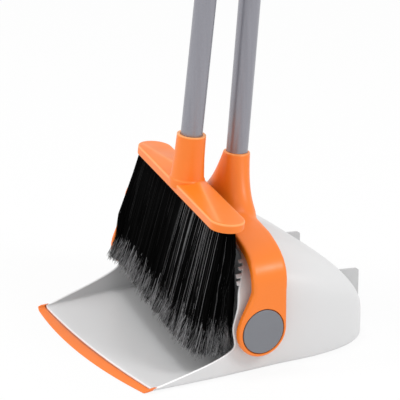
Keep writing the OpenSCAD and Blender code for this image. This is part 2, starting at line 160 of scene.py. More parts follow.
def skin(name, rings, merge=0.0):
    """Piece whose surface runs through rings of equal length, with a pole over each end. rings is
    a (rings, points, 3) array in millimetres. Points closer than merge become one."""
    m, n = rings.shape[:2]
    points = np.concatenate([rings.reshape(-1, 3), rings[0].mean(0)[None], rings[-1].mean(0)[None]])
    a = np.arange(n)
    b = (a + 1) % n
    row = np.arange(m - 1)[:, None]*n
    quads = np.stack([row + a, row + b, row + b + n, row + a + n], -1).reshape(-1, 4)
    first = np.stack([b, a, np.full(n, m*n)], -1)
    last = np.stack([a, b, np.full(n, m*n + 1)], -1) + [(m - 1)*n, (m - 1)*n, 0]
    mesh = bpy.data.meshes.new(name)
    mesh.from_pydata((points/1000).tolist(), [], quads.tolist() + first.tolist() + last.tolist())
    form = bmesh.new()
    form.from_mesh(mesh)
    if merge:
        bmesh.ops.remove_doubles(form, verts=form.verts, dist=merge/1000)
    bmesh.ops.recalc_face_normals(form, faces=form.faces)
    form.to_mesh(mesh)
    form.free()
    mesh.shade_smooth()
    piece = bpy.data.objects.new(name, mesh)
    bpy.context.collection.objects.link(piece)
    return piece


def joined(name, *parts):
    """One piece made of several closed bodies."""
    form = bmesh.new()
    for part in parts:
        form.from_mesh(part.data)
        bpy.data.objects.remove(part)
    mesh = bpy.data.meshes.new(name)
    form.to_mesh(mesh)
    form.free()
    mesh.shade_smooth()
    piece = bpy.data.objects.new(name, mesh)
    bpy.context.collection.objects.link(piece)
    return piece


def softened(outline, r, steps=5):
    """Rounds the inner corners of an outline: the curve leaves one side at the distance r from
    the corner and joins the next side at the same distance."""
    p = np.array(outline, float)
    before, corner, after = p[:-2], p[1:-1], p[2:]
    ends = []
    for other in (before, after):
        way = other - corner
        length = np.linalg.norm(way, axis=1, keepdims=True)
        ends.append((corner + way*np.minimum(r/length, 0.45))[:, None])
    u = np.linspace(0, 1, steps)[None, :, None]
    bends = (1 - u)**2*ends[0] + 2*u*(1 - u)*corner[:, None] + u**2*ends[1]
    return np.concatenate([p[:1], bends.reshape(-1, p.shape[1]), p[-1:]])


def placed(place, x, y, z):
    """Points x, y, z of a local frame, the 4 by 4 matrix place, in the frame of the part."""
    local = np.stack(np.broadcast_arrays(x, y, z, 1.0), -1)
    return (local @ place.T)[..., :3]


def once_round(sides):
    return np.linspace(0, 2*np.pi, sides, endpoint=False)


def turned(name, outline, place, sides=96):
    """Round piece: the outline of (height, radius) is carried once round its axis, the local Z of
    the matrix place."""
    outline = np.array(outline, float)
    a = once_round(sides)
    h, r = outline[:, 0, None], outline[:, 1, None]
    return skin(name, placed(place, r*np.cos(a), r*np.sin(a), h), merge=0.001)


def moved(x=0, y=0, z=0):
    place = np.eye(4)
    place[:3, 3] = x, y, z
    return place


def tilted(axis, degrees):
    """Turn about the axis X, Y or Z by the right-hand rule."""
    i, j = {"X": (1, 2), "Y": (2, 0), "Z": (0, 1)}[axis]
    c, s = math.cos(math.radians(degrees)), math.sin(math.radians(degrees))
    place = np.eye(4)
    place[i, i], place[i, j], place[j, i], place[j, j] = c, -s, s, c
    return place


across = {"left": moved(z=pivot_height) @ tilted("Y", -90),
          "right": moved(z=pivot_height) @ tilted("Y", 90)}

half = np.concatenate([
    np.linspace(0, floor_end, 25), np.linspace(floor_end, corner_end, 13)[1:],
    np.linspace(corner_end, wall_end, 33)[1:], np.linspace(wall_end, crest_at, 61)[1:]])
edge = mouth_edge(half)
flat_section = shell_point(half, np.full_like(half, -30.0), 0)
run = np.linalg.norm(np.gradient(flat_section[:, [0, 2]], axis=0), axis=1)
steep = np.minimum(np.hypot(1, np.gradient(edge)/run), 5)


def shell_ring(inset, back, share):
    """Ring of the shell: it lies inset inside the outer skin, back behind the edge, and then the
    given share of the way to the rear."""
    start = edge + back*steep
    end = rear - inset - 0.05
    points = shell_point(half, start + (end - start)*share, inset)
    return np.concatenate([points, points[-2:0:-1]*[-1, 1, 1]])


# The shell is one skin: forward along the inside, over the rolled edge, and back outside.
shares = 1 - (1 - np.linspace(0, 1, 90))**2.2
roll = np.radians(np.linspace(0, 180, 9))[1:-1]
edge_radius = wall/2
inside = [shell_ring(wall, edge_radius, s) for s in shares[::-1]]
rolled = [shell_ring(edge_radius*(1 + math.cos(a)), edge_radius*(1 - math.sin(a)), 0) for a in roll]
outside = [shell_ring(0, edge_radius, s) for s in shares]
rings = np.array(inside + rolled + outside)
body = skin("pan_body", rings)

boss_inner, boss_outer, boss_radius = 118, 125.4, 16.5
boss_outline = softened([(boss_inner, 0), (boss_inner, boss_radius), (boss_outer, boss_radius),
                         (boss_outer, 0)], 0.6)
bosses = [turned("boss", boss_outline, side) for side in across.values()]
pad_radius, pad_height = 20, 2
pad_outline = softened([(0, 0), (0, pad_radius), (pad_height, pad_radius), (pad_height, 0)], 0.3)
pad = turned("pad", pad_outline, moved())


def comb_tooth(angle, length, side):
    """Rounded tab that stands forward from the edge of the hood, at the angle round the hood. It
    is wider along the edge than it is thick, and its root is sunk into the wall."""
    root, widening, arch_rise = 3, 2.2, 70
    c, s = math.cos(math.radians(angle)), math.sin(math.radians(angle))
    q = stretch(c, s, squareness)
    x, z = (half_width - wall/2)*c*q, wall_top + (hood_height - wall/2 - wall_top)*s*q
    y = float(curve(mouth, np.array([z]))[0])
    lean = math.degrees(math.atan2(s**(squareness - 1)*half_width,
                                   c**(squareness - 1)*arch_rise))
    place = moved(side*x, y + root, z) @ tilted("Y", -side*lean) @ tilted("X", 90)
    outline = softened([(0, 0), (0, 1.15), (length + root, 1.0), (length + root, 0)], 0.6)
    return turned("tooth", outline, place @ np.diag([1, widening, 1, 1]), 24)


def paint_edge_light_and_shade(piece, share):
    """Notes how far each point lies on an edge whose colour is painted light, from 0 to 1. The
    material paints a lighter highlight on rounded edges and darker shade in a groove."""
    layer = piece.data.attributes.new("edge", "FLOAT", "POINT")
    whole = np.zeros(len(piece.data.vertices), np.float32)
    whole[:len(share)] = share
    layer.data.foreach_set("value", whole)


first_tooth, tooth_step = 34.4, 4.2
teeth = [comb_tooth(first_tooth + tooth_step*k, length, side)
         for k, length in enumerate((2.8, 5, 2.8, 2.8)) for side in (-1, 1)]
pan = joined("pan_moulding", body, pad, *bosses, *teeth)
# Painted highlight: the rings of the rolled mouth edge take the lighter edge colour #FAFAFA.
ring_number = np.arange(len(rings)).repeat(rings.shape[1])
paint_edge_light_and_shade(pan, np.abs(ring_number - (len(rings) - 1)/2) <= (len(roll) - 1)/2)
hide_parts("pan_shell")
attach(pan, "pan")


def srgb(code):
    """Linear colour of a hex code."""
    c = np.array([int(code[i:i + 2], 16) for i in (1, 3, 5)])/255
    linear = np.where(c <= 0.04045, c/12.92, ((c + 0.055)/1.055)**2.4)
    return [float(v) for v in linear] + [1.0]


def add(tree, kind, inputs=(), **settings):
    """Adds a shader node with its settings; each input takes a value or a link."""
    made = tree.nodes.new("ShaderNode" + kind)
    for key, value in settings.items():
        setattr(made, key, value)
    for key, value in dict(inputs).items():
        if isinstance(value, bpy.types.NodeSocket):
            tree.links.new(value, made.inputs[key])
        else:
            made.inputs[key].default_value = value
    return made


def new_material(name):
    material = bpy.data.materials.new(name)
    material.use_nodes = True
    material.node_tree.nodes.clear()
    return material, material.node_tree


def between(tree, factor, first, second):
    """Colour that goes from first to second with the factor."""
    return add(tree, "Mix", {"Factor": factor, 6: first, 7: second}, data_type="RGBA").outputs[2]


def moulded(name, colour, deep, rough, grain_mm, grain_depth, ior=1.49, rim=None):
    """Moulded plastic: an even colour that drifts a little towards deep over centimetres, takes
    the colour rim where the edge attribute is set, which is painted light: a painted highlight
    on rounded edges and painted shade in a groove. It has a fine spark-eroded grain that shows
    only as a soft break in the gloss."""
    material, tree = new_material(name)
    place = add(tree, "TexCoord").outputs["Object"]
    drift = add(tree, "TexNoise", {"Vector": place, "Scale": 1/0.06, "Detail": 2.0})
    tone = between(tree, drift.outputs["Fac"], srgb(colour), srgb(deep))
    if rim:
        edge_paint_share = add(tree, "Attribute", attribute_name="edge").outputs["Fac"]
        tone = between(tree, edge_paint_share, tone, srgb(rim))
    handled = add(tree, "TexNoise", {"Vector": place, "Scale": 1/0.025, "Detail": 4.0})
    gloss = add(tree, "MapRange", {
        "Value": handled.outputs["Fac"], "From Min": 0.3, "From Max": 0.7,
        "To Min": rough - 0.05, "To Max": rough + 0.05})
    grain = add(tree, "TexNoise", {"Vector": place, "Scale": 1000/grain_mm, "Detail": 2.0})
    bump = add(tree, "Bump", {"Height": grain.outputs["Fac"], "Strength": 0.35,
                              "Distance": grain_depth/1000})
    surface = add(tree, "BsdfPrincipled", {
        "Base Color": tone, "Roughness": gloss.outputs["Result"], "IOR": ior,
        "Normal": bump.outputs["Normal"]})
    add(tree, "OutputMaterial", {"Surface": surface.outputs["BSDF"]})
    return material


# Its edge colour #FAFAFA is a painted highlight on the rolled mouth edge.
white_pp = moulded("white_polypropylene", "#DCDCDC", "#D8D8D9", 0.38, 0.9, 0.02, rim="#FAFAFA")
pan.data.materials.append(white_pp)

# ---- Front lip ----
# A strip of soft thermoplastic rubber, moulded on along the front edge so that it lies flat on
# the ground. It is thin at the front, deepest in the middle, and turns up at both ends. A narrow
# groove parts it from the floor of the shell.


def lip_depth(x):
    return 8 + 6*(1 - np.clip(np.abs(x)/half_width, 0, 1)**2)


lip_end = 9.6           # the lip ends just short of corner_end
half_reach = np.linspace(0, lip_end, 60)
here = np.concatenate([half_reach[::-1], half_reach[1:]])
mirrored = np.ones((len(here), 1, 3))
mirrored[:len(half_reach) - 1, 0, 0] = -1
low = shell_point(here, mouth_edge(here), 0)
high = shell_point(here, mouth_edge(here), wall)
up = (high - low)/wall
out = np.stack([0*here, -lip_depth(low[:, 0]), 0*here], -1)
# Each section of the lip: its points as shares of the way out and in millimetres up, from the
# underside round the nose and over the top to the groove.
lip_outline = [(0, 0), (0.35, -0.3), (0.6, -0.5), (0.97, -0.5), (1.02, -0.2), (1.03, 0.1),
               (1.01, 0.5), (0.9, 0.95), (0.5, 1.8), (0.25, 2.1), (0.21, 2), (0.08, 1.1),
               (-0.02, 0.8)]
groove_shade_from = 10
sections = np.stack([low + u*out + v*up for u, v in lip_outline], 1)*mirrored
lip = skin("soft_lip", sections)
# Painted shade: the points of each section along the groove take the darker edge colour.
paint_edge_light_and_shade(lip, np.tile(np.arange(len(lip_outline)) >= groove_shade_from, len(here)))
lip.data.set_sharp_from_angle(angle=math.radians(50))
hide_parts("front_lip")
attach(lip, "pan")
# The edge colour #C4622A of the rubber is painted shade in the groove.
lip.data.materials.append(moulded("soft_rubber", "#FA802B", "#F67C28", 0.5, 0.7, 0.03,
                                  rim="#C4622A"))

# ---- Rear feet ----
# Two upright ribs in light grey polypropylene behind the hood, which carry the rear of the pan.

foot_plastic = moulded("grey_polypropylene", "#CBCBCB", "#C3C3C4", 0.42, 0.9, 0.02)


def dress(node, material):
    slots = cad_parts[node].data.materials
    slots.clear()
    slots.append(material)


for node in ("rear_foot_left", "rear_foot_right"):
    dress(node, foot_plastic)

# ---- Pivots ----
# On each side a turned steel shoulder pin is pressed into the boss of the shell. A thin nylon
# washer keeps the eye of the yoke off the boss.


def turned_steel(name):
    """Bare turned steel: bright, with rings of tool marks that run round the axis X."""
    material, tree = new_material(name)
    place = add(tree, "TexCoord").outputs["Object"]
    centred = add(tree, "Mapping", {"Vector": place, "Location": (0, 0, -pivot_height/1000)})
    marks = add(tree, "TexWave", {"Vector": centred.outputs["Vector"], "Scale": 400.0,
                                  "Distortion": 0.5}, wave_type="RINGS", rings_direction="X")
    bump = add(tree, "Bump", {"Height": marks.outputs["Fac"], "Strength": 0.2, "Distance": 0.00002})
    surface = add(tree, "BsdfPrincipled", {"Base Color": srgb("#B4B5B8"), "Metallic": 1.0,
                                           "Roughness": 0.3, "Normal": bump.outputs["Normal"]})
    add(tree, "OutputMaterial", {"Surface": surface.outputs["BSDF"]})
    return material


pin_steel = turned_steel("turned_steel")
nylon = moulded("nylon", "#D2D2CE", "#CACAC5", 0.45, 0.6, 0.02, ior=1.53)
for side in ("left", "right"):
    dress("pivot_pin_" + side, pin_steel)
    dress("pivot_washer_" + side, nylon)

# ---- Yoke ----
# One thick moulding in orange ABS: two flat arms that widen into round eyes, a squared arch over
# the hood, and a flared socket for the tube. All its edges are rounded.

arm_inner = 126.4
arm_outer = 135.4
arm_middle = (arm_inner + arm_outer)/2
arm_top = 87
arm_front = [(pivot_height, -eye_radius), (54, -26), (63, -22.5), (74, -16.8), (arm_top, -11),
             (101, -9)]
shoulder_back = 8.5     # where the middle of the strap lies at the top of the arm
edge_round = 2.6
crown_top = 128
crown_squareness = 3.4
crown_half = 18         # half the width of the strap on the crown
crown_ahead = 7         # the middle of the crown lies this far in front of the tube
socket_rim = 183
socket_back = 48
handle_lean = 5
crown_back = (socket_back - (socket_rim - crown_top)*math.tan(math.radians(handle_lean))
              - crown_ahead)
tube_radius = 11
socket_wall = 2.6
flare_length = 56.2


def strap(x, y, z, half_wide, normal):
    """Sections of a strap with rounded edges, with their middles at x, y, z: a rounded rectangle,
    half_wide along Y and half of the arm's thickness along the normal (x, z). No point lies
    right on the middle lines."""
    r = edge_round
    a = np.radians(np.arange(0, 360, 11.25) + 5.6)
    along, off = np.cos(a), np.sin(a)
    u = np.sign(along)*(half_wide[:, None] - r) + r*along
    v = np.sign(off)*((arm_outer - arm_inner)/2 - r) + r*off
    return np.stack([x[:, None] + v*normal[:, 0, None], y[:, None] + u,
                     z[:, None] + v*normal[:, 1, None]], -1)


def outwardness(x):
    """0 in the middle of the crown and 1 at the arm, nearly even between them."""
    bend = 20
    return ((np.hypot(x, bend) - bend)/(math.hypot(arm_middle, bend) - bend))**0.7


height = np.linspace(pivot_height, arm_top, 40)
front_edge = curve(arm_front, height)
arm = strap(arm_middle + 0*height, (front_edge + eye_radius)/2, height,
            (eye_radius - front_edge)/2, np.array([[1.0, 0.0]]).repeat(len(height), 0))
a = np.linspace(0, np.pi/2, 70)[1:]
c, s = np.cos(a), np.abs(np.sin(a))
q = stretch(c, s, crown_squareness)
x = arm_middle*c*q
normal = np.stack([c**(crown_squareness - 1)/arm_middle,
                   s**(crown_squareness - 1)/(crown_top - arm_top)], -1)
normal /= np.linalg.norm(normal, axis=1, keepdims=True)
outward = outwardness(x)
arch = strap(x, crown_back + (shoulder_back - crown_back)*outward,
             arm_top + (crown_top - arm_top)*s*q, crown_half + outward, normal)
right_half = np.concatenate([arm, arch])
left_half = right_half[-2::-1]*[-1, 1, 1]
strip = skin("strip", np.concatenate([right_half, left_half]))
eye_outline = softened([(arm_inner, 0), (arm_inner, eye_radius), (arm_outer, eye_radius),
                        (arm_outer, 0)], edge_round)
eyes = [turned("eye", eye_outline, side) for side in across.values()]


def on_handle(s):
    """Frame at the height s above the rim of the yoke's socket, with Z along the tube."""
    return moved(0, socket_back, socket_rim) @ tilted("X", -handle_lean) @ moved(z=s)


# The socket widens a little to the rear and much more to both sides, the faster the lower.
drop = np.linspace(0, 1, 40)[:, None]
a = once_round(96)
wide = tube_radius + socket_wall + 27*drop**1.2 + 15*drop**5
deep = tube_radius + socket_wall + 5.2*drop**1.4
socket = skin("socket", placed(on_handle(0), wide*np.cos(a), deep*np.sin(a) - crown_ahead*drop,
                               -flare_length*drop))
yoke = joined("yoke_moulding", strip, socket, *eyes)


def finished(piece):
    """Applies the modifiers of a piece."""
    bpy.context.view_layer.update()
    graph = bpy.context.evaluated_depsgraph_get()
    mesh = bpy.data.meshes.new_from_object(piece.evaluated_get(graph))
    piece.modifiers.clear()
    piece.data = mesh


def cut(piece, cutter):
    """Takes the cutter out of a piece."""
    away = piece.modifiers.new("cut", "BOOLEAN")
    away.object = cutter
    away.operation = "DIFFERENCE"
    away.solver = "EXACT"
    finished(piece)
    bpy.data.objects.remove(cutter)


def seen_from(piece, place):
    """Points of a piece in the local millimetres of the 4 by 4 matrix place."""
    p = np.array([v.co for v in piece.data.vertices])*1000
    return (np.concatenate([p, np.ones((len(p), 1))], 1) @ np.linalg.inv(place).T)[:, :3]


# Arms, crown and socket are fused. The root of the socket is blended into the crown: in full
# from x -50 to 50 and z 125 to 150, fading out to x -85 and 85 and to z 121 and 170.
fused = yoke.modifiers.new("fused", "REMESH")
fused.mode = "VOXEL"
fused.voxel_size = 0.0011
finished(yoke)
root = yoke.vertex_groups.new(name="root")
x, _, z = seen_from(yoke, moved()).T
near = np.clip((85 - np.abs(x))/35, 0, 1)*np.clip((z - 121)/4, 0, 1)*np.clip((170 - z)/20, 0, 1)
steps = 10
for share in range(1, steps + 1):
    level = np.nonzero(np.ceil(near*steps) == share)[0]
    root.add(level.tolist(), share/steps, "REPLACE")
# Then all edges of the yoke are eased a little.
for name, group, rounds in (("blended", "root", 140), ("eased", "", 12)):
    eased = yoke.modifiers.new(name, "SMOOTH")
    eased.vertex_group = group
    eased.factor = 0.5
    eased.iterations = rounds
finished(yoke)

# Recesses for the caps in the eyes, and the bore for the tube.
recess_depth = 3
recess_radius = 23.4
recess = softened([(arm_outer - recess_depth, 0), (arm_outer - recess_depth, recess_radius),
                   (arm_outer - 0.5, recess_radius), (arm_outer + 3, recess_radius + 1.8),
                   (arm_outer + 3, 0)], 0.8)
for side in across.values():
    cut(yoke, turned("recess", recess, side, 128))
bore_radius = tube_radius + 0.1
bore = [(-40, 0), (-40, bore_radius), (9, bore_radius), (9, 0)]
cut(yoke, turned("bore", bore, on_handle(0), 128))
# Painted highlight: the top edge of the socket round the bore takes the lighter edge colour.
x, y, z = seen_from(yoke, on_handle(0)).T
paint_edge_light_and_shade(yoke, np.clip(1.3 - np.abs(z + 0.1), 0, 1)*(np.hypot(x, y) > bore_radius + 0.9))
yoke.data.shade_smooth()
yoke.data.set_sharp_from_angle(angle=math.radians(40))
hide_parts("yoke")
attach(yoke, "handle")
# The edge colour #FDA65E is a painted highlight on the rims of the yoke and the broom head and
# along the head's crest.
orange_abs = moulded("orange_abs", "#F8801B", "#F57C18", 0.40, 0.9, 0.02, ior=1.53,
                     rim="#FDA65E")
yoke.data.materials.append(orange_abs)

# ---- Pivot caps ----
# Flat round caps in mid grey ABS, snapped into the eyes over the heads of the pins. A narrow gap
# stays open round them, and their rim is just broken.

grey_abs = moulded("grey_abs", "#797B81", "#75777D", 0.46, 0.7, 0.02, ior=1.53)
cap_top = arm_outer + 0.4
cap_outline = softened([(arm_outer - recess_depth, 0), (arm_outer - recess_depth, 22.3),
                        (arm_outer - 0.2, 22.6), (cap_top, 22.0), (cap_top, 0)], 0.35)
for name, side in across.items():
    cap = turned("cap_" + name, cap_outline, side, 128)
    cap.data.set_sharp_from_angle(angle=math.radians(60))
    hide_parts("pivot_cap_" + name)
    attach(cap, "handle")
    cap.data.materials.append(grey_abs)

# ---- Tubes ----
# Welded steel tube, 22 mm across with a 0.8 mm wall, in a smooth grey lacquer with fine metal
# flake. Light runs along it in soft, straight bands.


def lacquered(name):
    """Flake lacquer on drawn tube: a half metallic grey, with a faint lengthwise waviness under
    it and a clear top coat."""
    material, tree = new_material(name)
    place = add(tree, "TexCoord").outputs["Object"]
    long = add(tree, "Mapping", {"Vector": place, "Scale": (1.0, 1.0, 0.03)})
    streak = add(tree, "TexNoise", {"Vector": long.outputs["Vector"], "Scale": 1/0.0035,
                                    "Detail": 2.0})
    flake = add(tree, "TexNoise", {"Vector": place, "Scale": 1/0.0009, "Detail": 1.0})
    both = add(tree, "Math", {0: streak.outputs["Fac"], 1: flake.outputs["Fac"]}, operation="ADD")
    tone = add(tree, "MapRange", {"Value": both.outputs[0], "From Min": 0.7, "From Max": 1.3})
    colour = between(tree, tone.outputs["Result"], srgb("#8C8C94"), srgb("#96969E"))
    bump = add(tree, "Bump", {"Height": streak.outputs["Fac"], "Strength": 0.15,
                              "Distance": 0.00005})
    surface = add(tree, "BsdfPrincipled", {
        "Base Color": colour, "Metallic": 0.55, "Roughness": 0.34,
        "Coat Weight": 0.25, "Coat Roughness": 0.25, "Normal": bump.outputs["Normal"]})
    add(tree, "OutputMaterial", {"Surface": surface.outputs["BSDF"]})
    return material


tube_lacquer = lacquered("grey_lacquer_on_steel")

broom_foot = (1.6, -10.4, 165.6)
broom_lean = 5.8
broom_side = 1.3
broom_turn = -9.7


def on_broom(s):
    """Frame at the height s above the foot of the broom's socket, with Z along its tube."""
    return moved(*broom_foot) @ tilted("Y", broom_side) @ tilted("X", -broom_lean) @ moved(z=s)


# For each tool its frame, the heights of the foot of the tube, the foot of the joint and the top
# of the grip, and its body.
tools = (("pan", on_handle, -44, 305, 650, "handle"), ("broom", on_broom, 6, 395, 800, "broom"))
grip_length = 110
grip_bore = 74
joint_length = 16
tube_inner = tube_radius - 0.8
collar_radius = tube_radius + 1.3
for tool, frame_at, foot, joint, length, rides in tools:
    top = length - grip_length + grip_bore
    for part, s0, s1 in (("lower", foot, joint), ("upper", joint + joint_length, top)):
        outline = softened([(s0, tube_inner), (s0, tube_radius), (s1, tube_radius),
                            (s1, tube_inner)], 0.25)
        tube = turned(f"{tool}_{part}_tube", outline, frame_at(0))
        tube.data.set_sharp_from_angle(angle=math.radians(60))
        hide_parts(f"{tool}_tube_{part}")
        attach(tube, rides)
        tube.data.materials.append(tube_lacquer)
    # Joint: a moulded collar whose spigots are pressed into both tubes.
    outline = softened([(joint, 0), (joint, collar_radius), (joint + joint_length, collar_radius),
                        (joint + joint_length, 0)], 0.8)
    collar = turned(f"{tool}_collar", outline, frame_at(0))
    collar.data.set_sharp_from_angle(angle=math.radians(60))
    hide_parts(f"{tool}_tube_joint")
    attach(collar, rides)
    collar.data.materials.append(grey_abs)

# ---- Grips ----
# Hand grips moulded in mid grey plastic, pushed over the tubes. The top is flattened to 15 mm and
# drilled for a hook; the hole is countersunk on both sides.

r = tube_radius
grip_outline = softened([
    (0, r + 0.1), (0, r + 2.2), (1, r + 2.8), (5, r + 2.8), (7, r + 2), (24, r + 3.4),
    (45, r + 3.8), (68, r + 3.2), (84, r + 2.6), (94, r + 3), (101, r + 1.8), (106.5, r - 1.5),
    (109.3, r - 6), (grip_length, 0)], 1.6, 7)
flat_half = 7.5
flat_from = 84
hole_radius = 6.2
hole_below_top = 15
hole = softened([(-12, 0), (-12, 9), (-7.6, hole_radius), (7.6, hole_radius), (12, 9), (12, 0)],
                1.2)
for tool, frame_at, _, _, length, rides in tools:
    a = once_round(128)
    h, radius = grip_outline[:, 0, None], grip_outline[:, 1, None]
    flat = flat_half + 8*np.clip((flat_from - h)/8, 0, 1)
    grip = skin(f"{tool}_hand_grip", placed(
        frame_at(length - grip_length), radius*np.cos(a), np.clip(radius*np.sin(a), -flat, flat),
        h), 0.001)
    cut(grip, turned("hole", hole, frame_at(length - hole_below_top) @ tilted("X", 90), 48))
    grip.data.shade_smooth()
    grip.data.set_sharp_from_angle(angle=math.radians(38))
    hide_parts(f"{tool}_grip")
    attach(grip, rides)
    grip.data.materials.append(grey_abs)

# ---- Broom clip ----
# A ring pressed over the tube of the pan, with an open spring clip that holds the broom.

dress("broom_clip", grey_abs)

# ---- Broom head ----
# One moulding in the same orange ABS: a bar with round ends and an upright rim band, a top that
# rises to a soft crest running aslant over it, and the socket of the tube in the middle.

head_length = 248
head_width = 35
band = 9
rise_to_socket = 3.8
rim_top = -rise_to_socket
rim_low = rim_top - band
end_middle = (head_length - head_width)/2


def bar_outline():
    """Outline of the bar, from above: a middle line and a unit way out from it, at even steps."""
    straight = 2*end_middle
    arc = math.pi*head_width/2
    at = np.linspace(0, 2*(straight + arc), 240, endpoint=False)
    lap = at % (straight + arc)
    sign = np.where(at < straight + arc, 1, -1)
    turn = np.clip((lap - straight)/arc, 0, 1)*math.pi
    middle_x = np.where(lap < straight, end_middle - lap, -end_middle)*sign
    return middle_x, -np.sin(turn)*sign, np.cos(turn)*sign


def past_end(x):
    """How far x lies past the middle of a round end of the bar."""
    return np.clip(np.abs(x) - end_middle, 0, None)


def crest_line(x, b):
    """Place of the crest across the bar, b wide to each side: it crosses the bar aslant."""
    return b*(0.34 - 1.05*np.clip(np.abs(x)/(head_length/2), 0, 1))


def crest_height(x, y):
    """Height over the rim: it falls evenly from the crest to the edge on either side, and from
    the socket to both ends. The crest is rounded over."""
    u = np.clip(np.abs(x)/(head_length/2), 0, 1)
    b = np.maximum(np.sqrt(np.clip((head_width/2)**2 - past_end(x)**2, 0, None)), 0.01)
    crest = crest_line(x, b)
    side = np.where(y > crest, b - crest, b + crest)
    away = np.clip((np.sqrt((y - crest)**2 + 0.7) - 0.8)/np.maximum(side, 0.5), 0, 1)
    rise = 0.3*b/head_width + (rise_to_socket + 2)*(1 - u)**1.3
    return rise*(1 - away)


# Rings of the bar: from the edge of the block up the band, over the rim, and in to the middle.
middle_x, way_x, way_y = bar_outline()
rim_out = head_width/2
top_out, top_low = rim_out - 1.3, rim_top + 0.35
profile = softened([(4.5, rim_low), (rim_out, rim_low), (rim_out, rim_top - 3), (rim_out, rim_top),
                    (top_out, top_low)], 1.1, 6)
head_frame = on_broom(0) @ tilted("Z", broom_turn)
bar_frame = head_frame @ moved(1, 3)
bar_rings = [placed(bar_frame, middle_x + way_x*out_by, way_y*out_by, z) for out_by, z in profile]
for out_by in np.linspace(top_out, 0, 28)[1:]:
    x, y = middle_x + way_x*out_by, way_y*out_by
    z = top_low + crest_height(x, y)*np.clip((17.4 - out_by)/3, 0, 1)
    bar_rings.append(placed(bar_frame, x, y, z))
bar = skin("bar", np.array(bar_rings), 0.002)
stem_top = 46
socket_outline = softened([
    (-8, 0), (-8, 18), (0.2, 18), (1.2, 17), (2.0, 16.8), (23, 15.2), (stem_top - 2, 14.65),
    (stem_top, 14.6), (stem_top, 11.2), (40, 11.1), (40, 0)], 0.5, 4)
stem = turned("stem", socket_outline, head_frame, 128)
head = joined("head_moulding", bar, stem)
# Painted highlights: the lighter edge colour lies on the top edge of the rim band, on the top of
# the socket and, fainter, along the crest.
x, y, z = seen_from(head, bar_frame).T
rim_highlight = (np.hypot(past_end(x), y) > top_out + 0.1)*np.clip(1.5 - np.abs(z - rim_top + 0.5), 0, 1)
crest_highlight = 0.4*np.exp(-((y - crest_line(x, rim_out))/2.2)**2)*(z > rim_top + 0.6)
x, y, z = seen_from(head, head_frame).T
socket_top_highlight = np.clip(1.4 - np.abs(z - stem_top), 0, 1)
crest_highlight *= np.hypot(x, y) > 18.5
paint_edge_light_and_shade(head, np.maximum(np.maximum(rim_highlight, socket_top_highlight), crest_highlight))
head.data.set_sharp_from_angle(angle=math.radians(38))
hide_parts("broom_head")
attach(head, "broom")
head.data.materials.append(orange_abs)

# ---- Tuft block ----
# The block inside the head that holds the tufts, in black plastic.

dress("tuft_block", moulded("black_plastic", "#1C1C1D", "#19191A", 0.5, 0.7, 0.02))

# ---- Bristles ----
# Black polypropylene filaments, set in tufts. Each is straight for most of its length; the last
# 25 mm are flagged, which means split into finer, grey hairs that stand out in all directions.

bristle_length = 120     # in the middle; the slant is the half difference of the two ends
bristle_slant = 6
root_half = 10.5        # half depth of the fill at the block and at the tips
tip_half = 31
between_walls = 117.2
rng = np.random.default_rng(7)


def back_limit(x, z):
    """How far back a bristle may reach at x and z and stay ahead of the hood and of the yoke."""
    over = np.clip(np.abs(x)/half_width, 0, 0.97)
    hood_z = wall_top + (hood_height - wall_top)*superellipse(over, squareness)
    hood = curve(mouth, hood_z) - np.where(z > 85, 6.0, 3.0)
    over = np.clip(np.abs(x)/arm_middle, 0, 1)
    yoke_z = arm_top + 5 + (crown_top - arm_top)*superellipse(over, crown_squareness)
    arch = crown_back - crown_half + (shoulder_back - crown_back - 1)*outwardness(x) - 1
    limit = 1e3
    for edge, top in ((hood, hood_z), (arch, yoke_z)):
        lean = np.where(z > top, 0.35*(z - top), -math.sin(math.radians(broom_lean))*(top - z))
        limit = np.minimum(limit, edge + lean)
    return limit


def fill_point(s, c, f):
    """Point of the fill: s from -1 to 1 along the head, c from -1 at its front to 1 at its back,
    f from 0 at the block to 1 at the tips. The fill spreads evenly downwards, hangs lower at its
    right end, and is pressed together in front of the hood."""
    w = root_half + (tip_half - root_half)*f**0.9
    along = (end_middle + 7 + np.where(s < 0, 2.5 + 5*f**3 - 3.5*f, 4*f))*s
    off = w*c*(1 - 0.35*np.abs(s)**6)
    drop = f*(bristle_length + bristle_slant*along/end_middle)
    p = placed(bar_frame, along, off, rim_low - drop)
    ahead = p[..., 1] - off - w
    behind = np.minimum(ahead + 2*w, back_limit(p[..., 0], p[..., 2]))
    ahead = np.minimum(ahead, behind - 2.5 - (11 + 2*s)*np.clip(f, 0, 2)**2)
    p[..., 1] = ahead + (off + w)*(behind - ahead)/(2*w)
    return p


def hairs(name, path, radius, tip, tone):
    """Piece made of thin three-sided hairs. path is (hairs, points, 3) in millimetres, radius is
    the half thickness at each point; tip and tone go into attributes for the material. No hair
    reaches out to the side walls of the pan."""
    n, m = path.shape[:2]
    a = np.radians([0, 120, 240])
    spread = np.stack([np.cos(a), np.sin(a), 0*a], -1)
    path[..., 0] = np.clip(path[..., 0], -between_walls, between_walls)
    ring = path[:, :, None] + radius[:, :, None, None]*spread
    points = ring.reshape(-1, 3)
    base = (np.arange(n)[:, None, None]*m + np.arange(m - 1)[None, :, None])*3
    i = np.arange(3)
    j = (i + 1) % 3
    quads = np.stack([base + i, base + i + 3, base + j + 3, base + j], -1).reshape(-1, 4)
    mesh = bpy.data.meshes.new(name)
    mesh.from_pydata((points/1000).tolist(), [], quads.tolist())
    for key, value in (("tip", tip), ("tone", np.broadcast_to(tone[:, None], (n, m)))):
        layer = mesh.attributes.new(key, "FLOAT", "POINT")
        layer.data.foreach_set("value", np.repeat(value.reshape(-1), 3).astype(np.float32))
    mesh.shade_smooth()
    piece = bpy.data.objects.new(name, mesh)
    bpy.context.collection.objects.link(piece)
    return piece


